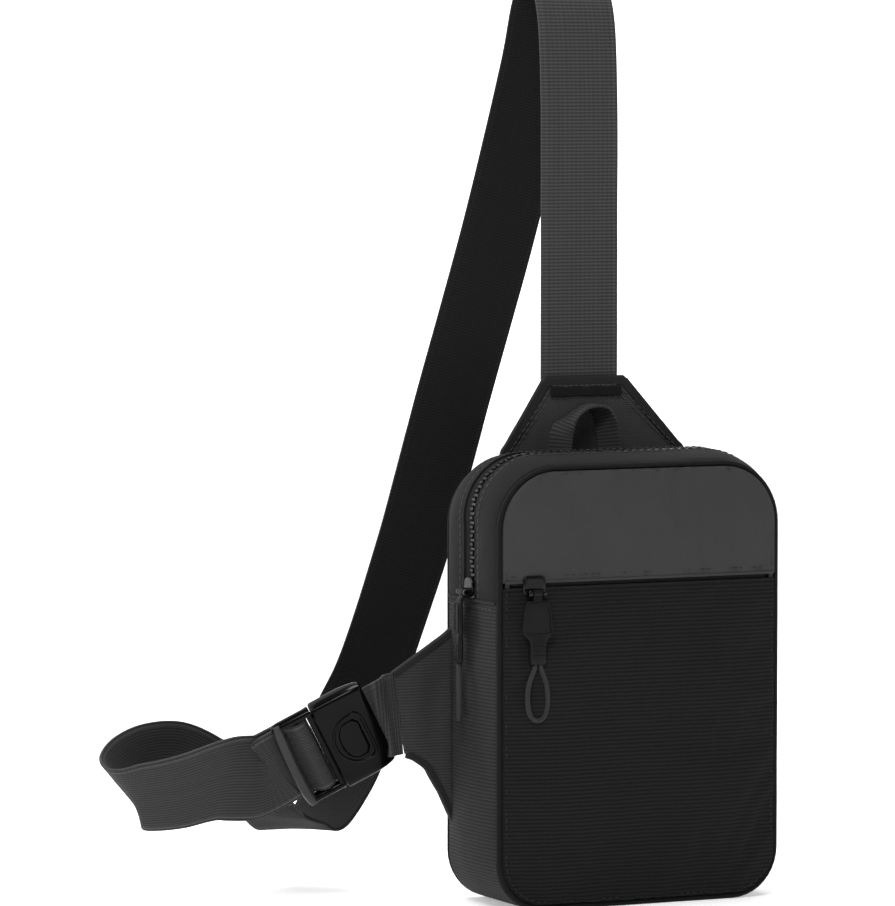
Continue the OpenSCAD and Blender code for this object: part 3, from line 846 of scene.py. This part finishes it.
# binding that covers the raw edge of the upper panel over the pocket zipper
for nm, z, d in (("pocket_hem_upper", PZ + 1.5, 1.5), ("pocket_hem_lower", PZ - 1.45, 1.2)):
    pts = [Vector((lerp(-66, 66, k / 60), -27.2 + 0.1 * nz3(k, 0, z, 0.2), z)) for k in range(61)]
    tube(nm, pts, d, M["shell"] if z > PZ else M["ribbed"], "bag", n=1, s=10)
p = [Vector((lerp(-64, 64, k / 40), -27.35, PZ + 4.0)) for k in range(41)]
stitches("pocket_topstitch", p, [Vector((0, -1, 0))] * 41, M["thread_dark"], "bag", 2.3, 0.9,
        0.22, 0.25)
# coil of the pocket zipper
coil = []
for k in range(0, 1240):
    a = 2 * math.pi * k / 10
    coil.append(Vector((-62 + k * 0.1, -26.35 + 0.42 * math.cos(a), PZ + 0.75 * math.sin(a))))
tube("pocket_coil", coil, 0.42, M["teeth"], "bag", ("pocket_zipper_teeth",), n=1, s=5)


# ---------------------------------------------------------------- sliders, pulls and cords
PIN = {"main": Vector((-74.2, -1, 139.5)), "pocket": Vector((-52.5, -31.2, 140.6))}


def main_xf(p):
    return PIN["main"] + Vector((p[1], -p[0], p[2]))


def pocket_xf(p):
    return PIN["pocket"] + Vector((p[0], p[1], p[2]))


def ring_xy(z, a, b, p=4.0, n=24, cx=0.0, cy=0.0):
    out = []
    for k in range(n):
        g = 2 * math.pi * k / n
        c, s = math.cos(g), math.sin(g)
        out.append((cx + a * abs(c) ** (2 / p) * (1 if c >= 0 else -1),
                cy + b * abs(s) ** (2 / p) * (1 if s >= 0 else -1), z))
    return out


def make_slider(tag, xf, body, node, plate, y0, y1):
    o = [prism(tag + "_plate", [(x, z) for x, z in plate], -y1, -y0, M["metal"], body,
            (node,),
               xf=lambda p: xf((p[0], -p[2], p[1])), bevel=0.45, seg=3)]
    for s in (-1, 1):
        prof = [(-1.55, y0 + 0.2)] + [(1.55 * math.cos(math.radians(a)), 1.55 * math.sin(math.radians(a)))
                                       for a in range(180, 361, 15)] + [(1.55, y0 + 0.2)]
        o.append(prism(tag + "_lug_%d" % (s + 1), prof, s * 3.4 - 0.85, s * 3.4 + 0.85, M["metal"], body,
                       xf=lambda p: xf((p[2], p[1], p[0])), bevel=0.3, seg=2))
    o.append(loft(tag + "_pin", [[(q[2], q[0], q[1]) for q in ring_xy(x, r, r, 2.0, 16)] for x, r in
                                 ((-4.25, 0.5), (-4.15, 0.78), (4.15, 0.78), (4.25, 0.5))], M["metal"],
                                 body,
                  xf=xf))
    return o


main_plate = [(-1.6, -2.2), (1.6, -2.2), (2.8, -1.4), (4.1, 0.6), (4.15, 3.6), (3.3, 5.6), (1.5, 6.4),
        (-1.5, 6.4),
              (-3.3, 5.6), (-4.15, 3.6), (-4.1, 0.6), (-2.8, -1.4)]
pocket_plate = [(-4.0, -1.2), (4.0, -1.2), (5.3, 0.2), (5.5, 3.2), (5.3, 6.2), (4.0, 7.3), (-4.0, 7.3),
        (-5.3, 6.2),
                (-5.5, 3.2), (-5.3, 0.2)]
make_slider("main_slider_body", main_xf, "main_slider", "main_slider", main_plate, 2.5, 3.8)
make_slider("pocket_slider_body", pocket_xf, "pocket_slider", "pocket_slider", pocket_plate, 2.35, 3.3)
for s in (-1, 1):
    loft("main_slider_flange_%d" % (s + 1), [ring_xy(z, a, b, 4, 16, s * 3.7, 4.6) for z, a, b in
                                             ((-1.9, 0.2, 0.3), (-1.5, 0.45, 0.75), (5.5, 0.45, 0.75), (6.0,
                                             0.2, 0.3))],
         M["metal"], "main_slider", xf=main_xf)


def make_pull(tag, xf, body, grip_node, cord_node, yaw, off):
    ca, sa = math.cos(math.radians(yaw)), math.sin(math.radians(yaw))

    def turned(p):
        x, y, z = p
        y -= off
        return xf((x * ca - y * sa, x * sa + y * ca, z))
    prof = ((-3.2, 4.3, 0.55), (-3.6, 5.1, 0.95), (-4.6, 5.6, 1.1), (-8, 6.2, 1.1), (-12, 6.8, 1.1), (-15.6,
            7.3, 1.1),
            (-17.0, 7.2, 1.1), (-18.3, 6.5, 1.15), (-19.5, 5.2, 1.25), (-20.6, 4.2, 1.4), (-22, 3.8, 1.55),
            (-25, 3.65, 1.6), (-28.6, 3.75, 1.6), (-30.4, 3.7, 1.5), (-31.2, 3.1, 1.1))
    loft(tag + "_moulded", [ring_xy(z, a, b, 5, 36) for z, a, b in prof], M["grip"], body,
            (grip_node,),
         xf=turned)
    # raised border and three grip ribs on the face of the plate
    rim = [(-4.4, -4.9), (-6.2, -15.4), (-5.4, -17.6), (5.4, -17.6), (6.2, -15.4), (4.4, -4.9)]
    pts = [turned((a[0], -1.15, a[1])) for a in curve([list(q) for q in rim + rim[:1]], 6)]
    tube(tag + "_border", [Vector(p) for p in pts], 0.7, M["grip"], body, n=1, s=8,
            closed=True)
    for k, z in enumerate((-23.4, -25.4, -27.4)):
        tube(tag + "_rib_%d" % k, [Vector(turned((lerp(-2.9, 2.9, i / 8), -1.62 + 0.12 * abs(i - 4) / 4,
                z)))
                                   for i in range(9)], 0.7, M["grip"], body, n=1, s=8,
             up=Vector((0, 0, 1)))
    loft(tag + "_eye", [[(q[2], q[0], q[1]) for q in ring_xy(x, r, r, 2.0, 20)] for x, r in
                        ((-2.2, 1.3), (-2.0, 1.7), (2.0, 1.7), (2.2, 1.3))], M["grip"], body,
                        xf=xf)
    loft(tag + "_neck", [ring_xy(z, 2.1, b, 4, 16, 0, y) for z, b, y in
                         ((-1.2, 0.9, -0.1), (-2.2, 1.0, -0.3 * off), (-3.2, 1.0, -0.8 * off), (-4.4, 0.8,
                         -off))],
         M["grip"], body, xf=xf)
    route = [(-1.6, 0, -31.5), (-1.6, 0, -33.2), (-4.1, 0.2, -40), (-4.7, 0.3, -47), (-3.9, 0.2, -52.5),
             (-1.6, 0, -55.4), (1.6, 0, -55.4), (3.9, -0.2, -52.5), (4.7, -0.3, -47), (4.1, -0.2, -40),
             (1.6, 0, -33.2), (1.6, 0, -31.5)]
    P = [Vector(turned(p)) for p in curve([list(q) for q in route], 5)]
    o, S, run = tube(tag + "_cord_loop", P, CORD_ACROSS, M["cord"], body, (cord_node,), n=1,
            s=12,
            wob=0.08)


make_pull("main_pull", main_xf, "main_pull", "main_pull_grip", "main_pull_cord", -18, 1.6)
make_pull("pocket_pull", pocket_xf, "pocket_pull", "pocket_pull_grip", "pocket_pull_cord", 0, 0.6)


# ---------------------------------------------------------------- strap tab, handle and wing
def on_poly(P, t):
    """Point at a share of a polyline's length."""
    d = [0.0]
    for a, b in zip(P, P[1:]):
        d.append(d[-1] + math.hypot(a[0] - b[0], a[1] - b[1]))
    s = t * d[-1]
    for i in range(len(P) - 1):
        if s <= d[i + 1] + 1e-9:
            k = (s - d[i]) / (d[i + 1] - d[i])
            return lerp(P[i][0], P[i + 1][0], k), lerp(P[i][1], P[i + 1][1], k)
    return P[-1]


def quad_patch(name, top, bottom, y, thick, nu, nv, relief, mat, node, uscale=1.0):
    """Cloth patch between two polylines in the X-Z plane, facing the front."""
    def place(i, j):
        a, b = on_poly(top, i / (nu - 1)), on_poly(bottom, i / (nu - 1))
        x, z = lerp(b[0], a[0], j / (nv - 1)), lerp(b[1], a[1], j / (nv - 1))
        return Vector((x, y - relief(x, z, i / (nu - 1), j / (nv - 1)), z)), Vector((0, -1, 0))

    def uvf(i, j):
        p = place(i, j)[0]
        return (p.x * MM, p.z * MM)
    V, F, UV = sheet_mesh(nu, nv, place, thick, uvf)
    return piece(name, V, F, mat, "bag", UV, (node,), angle=60)


def tab_relief(x, z, u, v):
    e = min(1.0, v * 9, (1 - v) * 9, (1 - u) * 9)
    return e * (0.8 * math.exp(-((x + 0.5) / 17) ** 4) * smooth(190, 206, z)
                + 0.5 * nz3(x * 0.06, 4.0, z * 0.06) + 0.3 * nz3(x * 0.15, 1.0, z * 0.15))


tab = quad_patch("strap_tab_cloth", [(-40.8, 180), (-40.4, 198), (-19.8, 229.8)],
                 [(48.4, 180), (48, 198), (19.2, 229.8)], 27.8, 1.5, 35, 51, tab_relief,
                 M["tab"], "strap_tab")



def edge_band(name, line, y, width, thick, mat, nodes, inward):
    rws = []
    for k, (x, z) in enumerate(line):
        a, b = line[max(0, k - 1)], line[min(len(line) - 1, k + 1)]
        t = Vector((b[0] - a[0], 0, b[1] - a[1])).normalized()
        w = Vector((t.z, 0, -t.x)) * inward
        rws.append([x + w.x * width * 0.5, y, z + w.z * width * 0.5, w.x, w.y, w.z])
    return ribbon(name, rws, width, thick, mat, "bag", nodes, n=6)[0]


def densify(P, step):
    out = []
    for a, b in zip(P, P[1:]):
        n = max(1, int(math.hypot(a[0] - b[0], a[1] - b[1]) / step))
        out += [(lerp(a[0], b[0], k / n), lerp(a[1], b[1], k / n)) for k in range(n)]
    return out + [P[-1]]


edge_band("strap_tab_binding_tape", densify([(-42.4, 180), (-41.8, 198.2), (-21.2, 230.4), (-19.6, 231.4),
        (19.0, 231.4),
                                             (20.8, 230.4), (49.6, 198.2), (50.0, 180)], 4), 28.6, 4.6, 2.5,
                                             M["binding"],
          ("strap_tab_binding",), 1)
for k, off in enumerate((3.6, 5.4)):
    ln = densify([(-41.8 + off, 184), (-41.4 + off, 198.6), (-20.6 + off * 0.9, 230.4 - off),
            (19.6 - off * 0.9, 230.4 - off),
                  (48.9 - off, 198.6), (49.4 - off, 184)], 3)
    pts = [Vector((x, 27.2 if k == 0 else 27.5, z)) for x, z in ln]
    stitches("strap_tab_stitch_%d" % k, pts, [Vector((0, -1, 0))] * len(pts), M["thread"], "bag",
            2.4, 1.0,
             0.28, 0.1)
ribbon("strap_tab_bar_tape", [[lerp(-17.6, 17.1, k / 10), 26.7, 224.7 + 0.15 * math.sin(k * 2.1), 0, 0,
        1] for k in
                              range(11)], 4.6, 1.7, M["piping"], "bag", ("strap_tab_bar",),
                                      n=4)
for k, z in enumerate((222.0, 227.4)):
    pts = [Vector((lerp(-17.5, 17, i / 12), 27.0, z)) for i in range(13)]
    stitches("strap_tab_bar_stitch_%d" % k, pts, [Vector((0, -1, 0))] * 13, M["thread"], "bag",
            2.0, 0.7,
             0.25, 0.1)

HANDLE = [[-15.5, 21.4, 196.2, 0.8, -0.6, 0], [-15.6, 21.4, 201, 0.8, -0.6, 0], [-14.6, 21.4, 207, 0.8,
        -0.6, 0.1],
          [-11, 21.4, 212.5, 0.55, -0.75, 0.45], [-5, 21.4, 217.2, 0.3, -0.85, 0.2], [1, 21.4, 218.4, 0.2,
          -0.95, 0],
          [5.6, 21.4, 214.5, 0.4, -0.85, 0.35], [7.6, 21.4, 208, 0.75, -0.65, 0.3], [8.6, 21.4, 202, 0.8,
          -0.6, 0],
          [9, 21.4, 196.2, 0.8, -0.6, 0]]
handle = ribbon("grab_handle_webbing", HANDLE, 11, 1.5, M["handle"], "bag", ("grab_handle",),
        n=10, cup=0.4)[0]

WING_TOP = [(-69.2, 121), (-73.5, 117.5), (-98.5, 101.5)]
WING_LOW = [(-69.2, 37), (-74.5, 49), (-82, 61), (-88, 65), (-92, 66.5)]


def wing_relief(x, z, u, v):
    e = min(1.0, u * 8 + 0.3, (1 - u) * 8, v * 8, (1 - v) * 8)
    fold = 0.9 * math.sin(u * 9.5 + 1.2 * v) * (1 - u) ** 0.6 * (0.5 + 0.5 * nz3(x * 0.05, 0, z * 0.03))
    return e * (1.0 * math.sin(math.pi * v) ** 0.6 + fold + 0.5 * nz3(x * 0.1, 2, z * 0.06))


wing = quad_patch("side_wing_cloth", WING_TOP, WING_LOW, 19.2, 2.8, 41, 61, wing_relief, M["wing"],
                  "side_wing")
edge_band("side_wing_binding_top", densify([(-69.3, 122.8), (-73.7, 119.2), (-98.9, 103.2)], 4), 20.5, 3.2,
        3.6,
          M["binding"], ("side_wing_binding",), -1)
edge_band("side_wing_binding_low", densify([(-69.3, 34), (-76, 48), (-83, 59.4), (-88.4, 63.2), (-91.9,
        64.6)], 4), 20.5,
          3.2, 3.6, M["binding"], ("side_wing_binding",), 1)


# ---------------------------------------------------------------- buckle
BK = Vector((-145, 29, 62.5))
TURN = Euler([math.radians(a) for a in (116, -27.5, -18)], 'XYZ').to_matrix()
BW = TURN @ Vector((0, 1, 0))


def bk(p):
    return BK + TURN @ Vector(p)


def row(u, n):
    c = bk((u, 0, n))
    return [c.x, c.y, c.z, BW.x, BW.y, BW.z]


def ring_v(u, b, h, p=5.0, n=48, n0=0.0):
    out = []
    for k in range(n):
        g = 2 * math.pi * k / n
        c, s = math.cos(g), math.sin(g)
        out.append((u, b * abs(c) ** (2 / p) * (1 if c >= 0 else -1),
                n0 + h * abs(s) ** (2 / p) * (1 if s >= 0 else -1)))
    return out


def d_line(x0, x1, hy, n=16):
    out = [(x1, hy * 0.72), (x1 - 2, hy)]
    for i in range(n + 1):
        a = math.radians(90 + 180 * i / n)
        out.append((x1 - 5.5 + (x1 - 5.5 - x0) * math.cos(a), hy * math.sin(a)))
    return out + [(x1 - 2, -hy), (x1, -hy * 0.72)]


def cut(o, *tools):
    for t in tools:
        m = o.modifiers.new("cut", 'BOOLEAN')
        m.operation, m.solver, m.object = 'DIFFERENCE', 'EXACT', t
    bake(o)
    for t in tools:
        bpy.data.objects.remove(t)
    o.data.set_sharp_from_angle(angle=math.radians(35))
    return o


def block(name, lo, hi, bevel=0.5):
    return prism(name, round_rect(lo[0], hi[0], lo[1], hi[1], 1.2), lo[2], hi[2], M["gloss"], None, xf=bk,
            bevel=bevel)


female = loft("buckle_female_housing", [ring_v(u, b, h, p) for u, b, h, p in
                                        ((19.6, 21.9, 4.0, 5), (19.8, 22.6, 4.7, 5), (20.4, 23, 5.0, 6),
                                        (24, 23, 5.05, 6),
                                         (30, 23, 5.1, 6), (35, 22.9, 5.0, 6), (39, 22.6, 4.6, 6), (42,
                                         22.2, 3.9, 6),
                                         (43.6, 21.8, 3.2, 6), (44.2, 21.2, 2.4, 6))], M["gloss"], "bag",
              ("buckle_female",), xf=bk, angle=35)
cut(female, block("c1", (15, -19.4, -2.9), (38, 19.4, 2.9)), block("c2", (40, -19.2, -1.15), (50, 19.2,
        1.15), 0.2),
    prism("c3", d_line(25, 36.5, 10), 0.5, 12, M["gloss"], None, xf=bk, bevel=0.3))
# raised lip round the button's opening
LIP = d_line(22.4, 38.4, 12.4)
lip = [Vector(bk((a[0], a[1], 5.05))) for a in curve([list(q) for q in LIP + LIP[:1]], 3)]
tube("buckle_button_lip", lip, 1.3, M["gloss"], "bag", n=1, s=10, closed=True,
        up=Vector(TURN @ Vector((0, 0, 1))))
prism("release_button_cap", d_line(25.4, 36.1, 9.6), 1.2, 5.3, M["gloss"], "release_button",
      ("release_button",), xf=bk, bevel=0.7, seg=4, crown=0.5)
prism("release_button_skirt", d_line(24.2, 37.2, 10.9), 1.2, 2.5, M["gloss"], "release_button",
        xf=bk,
      bevel=0.3)

bar = []
for k in range(25):
    v = lerp(-22.8, 22.8, k / 24)
    e = 1 - (abs(v) / 22.8) ** 6
    q = 1 - (v / 22.8) ** 2
    hu, hn = 2.7 * (0.55 + 0.45 * e), 2.1 * (0.5 + 0.5 * e)
    cu, cn = 3.0 - 0.9 * q, 1.85 + 0.5 * q
    bar.append([(cu + hu * math.cos(2 * math.pi * a / 24), v,
            cn + hn * math.sin(2 * math.pi * a / 24)) for a in range(24)])
loft("buckle_male_outer_bar", bar, M["satin"], "buckle_male", ("buckle_male",), xf=bk)
for s in (-1, 1):
    loft("buckle_male_rail_%d" % (s + 1), [[(u, s * 21.1 + a * math.cos(2 * math.pi * k / 20),
            b * math.sin(2 * math.pi * k / 20)
                                             + 0.1) for k in range(20)] for u, a, b in
                                            ((0.6, 1.2, 1.4), (1.6, 1.75, 2.5), (4, 1.9, 2.9), (12, 1.9,
                                            2.95),
                                             (17, 1.9, 2.95), (19.2, 1.8, 2.9))], M["gloss"], "buckle_male",
         xf=bk)
    prism("buckle_male_prong_%d" % (s + 1), [(18.5, s * 14.2), (18.5, s * 18.8), (35, s * 18.8), (36.8,
            s * 17),
                                             (34, s * 15.2)], -2.5, 2.5, M["gloss"], "buckle_male",
          xf=bk, bevel=0.5)
loft("buckle_male_centre_bar", [[(12.2 + 1.15 * math.cos(2 * math.pi * k / 20), v,
        -0.35 + 0.8 * math.sin(2 * math.pi * k / 20))
                                 for k in range(20)] for v in (-20.5, -10, 0, 10, 20.5)], M["gloss"],
                                         "buckle_male",
     xf=bk)
loft("buckle_male_shoulder", [ring_v(u, b, h, 6) for u, b, h in ((16.9, 22.4, 2.3), (17.2, 22.9, 2.8),
        (18.9, 23, 2.9),
                                                                (19.3, 22.6, 2.6))], M["gloss"],
                                                                "buckle_male",
     xf=bk)
prism("buckle_male_tongue", [(18.5, -12), (18.5, 12), (33, 12), (36.5, 8), (36.5, -8), (33, -12)], -2.5,
        -0.9, M["gloss"],
      "buckle_male", xf=bk, bevel=0.5)

STUB = [row(40.4, 0), row(42.5, 0), row(44.6, 0), [-103.4, 17.3, 84, -0.42, -0.2, 0.88],
        [-99.6, 19.4, 84.4, -0.26, -0.05, 0.96], [-95.6, 20.6, 84.8, -0.18, 0, 0.98]]
stub = ribbon("buckle_stub_webbing", STUB, 36.9, 1.6, M["stub"], "bag", ("buckle_webbing",),
        n=8)[0]

# ---------------------------------------------------------------- shoulder webbing
MAIN = [[-1.8, 30.8, 190, 1, 0, 0], [-1.8, 30.8, 240, 1, 0, 0], [-1.8, 30.8, 300, 1, 0, 0], [-1.8, 31, 355,
        1, 0, 0],
        [-1.8, 34.5, 392, 1, 0, 0], [-1.6, 46, 409, 1, 0.02, -0.03], [-3, 58, 398, 1, 0.03, -0.1],
        [-8, 62.5, 365, 1, 0.05, -0.15], [-26, 64, 295, 1, 0.08, -0.2], [-46, 70, 220, 1, 0.09, -0.24],
        [-61, 79, 155, 1, 0.1, -0.24], [-79, 84, 98, 0.98, 0.1, -0.25], [-88, 88, 70, 0.8, -0.5, -0.2],
        [-94, 89, 48, 0.5, -0.85, -0.1], [-103, 85, 34, 0.45, -0.89, 0.05], [-119, 76, 29, 0.83, -0.55,
        0.02],
        [-134, 68, 35, 0.59, -0.8, 0], [-147, 64, 44, 0.4, -0.88, 0.22], [-158, 63, 51, 0.12, -0.8, 0.58],
        [-172, 62, 58, -0.1, -0.5, 0.85]]
LOOP = [[-172.0, 62, 58, -0.1, -0.5, 0.85], [-187, 60, 63, -0.17, -0.2, 0.97], [-201, 55, 63, -0.39, -0.17,
        0.91],
        [-212, 48, 60, -0.55, -0.16, 0.82], [-218, 40, 56, -0.66, -0.15, 0.74], [-218, 32, 53, -0.66, -0.2,
        0.72],
        [-210, 27.5, 53, -0.63, -0.29, 0.72], [-196, 25, 55, -0.56, -0.34, 0.76], [-177, 25.5, 59, -0.5,
        -0.32, 0.8],
        row(-12, -2.5), row(-3, -2.7), row(3.2, -2.5), row(7.4, -0.6), row(10.4, 1.5), row(12.6, 1.75),
                row(14.8, 0.6),
        row(15.9, -1.8), row(15.1, -4.2), row(12, -5.6), row(4, -6), row(-8, -6.2), row(-16, -6.6)]
strap = ribbon("shoulder_strap_webbing", MAIN, WEBBING_WIDTH, 1.6, M["strap"], None,
        ("shoulder_strap",),
        n=14)[0]
# faces of the strap behind the bag (y over 50 mm) get the darker copy of the webbing: painted shade
strap.data.materials.append(M["strap_painted_shade"])
for p in strap.data.polygons:
    if p.center.y > 0.050:
        p.material_index = 1
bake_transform(strap)
loop = ribbon("slack_loop_webbing", LOOP, WEBBING_WIDTH, 1.6, M["loop"], "buckle_male",
        ("strap_slack_loop",
        ), n=14,
                  u0=strap["run"])[0]
# the folded end hem takes the same darker webbing copy: painted shade
ribbon("strap_end_fold", [row(-19, -7.4), row(-17.4, -8.2), row(-14, -8.5), row(-8.5, -8.4)], 37.2, 1.5,
        M["strap_painted_shade"],
       "buckle_male", ("strap_end_hem",), n=5)

# ---------------------------------------------------------------- CAD solids that stay, with their materials
for node, mat in (("lining", "lining"), ("inner_front_panel", "lining"), ("back_foam", "piping"),
                  ("pocket_zipper_tape", "tape"), ("pocket_zipper_stops", "teeth"), ("main_zipper_stops",
                  "teeth")):
    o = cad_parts[node]
    o = bpy.data.objects[o] if isinstance(o, str) else o
    if not o.data.materials:
        o.data.materials.append(M[mat])
    for k in range(len(o.data.materials)):
        o.data.materials[k] = M[mat]
    if not o.data.uv_layers:
        o.data.uv_layers.new(name="UVMap")

bpy.context.view_layer.update()
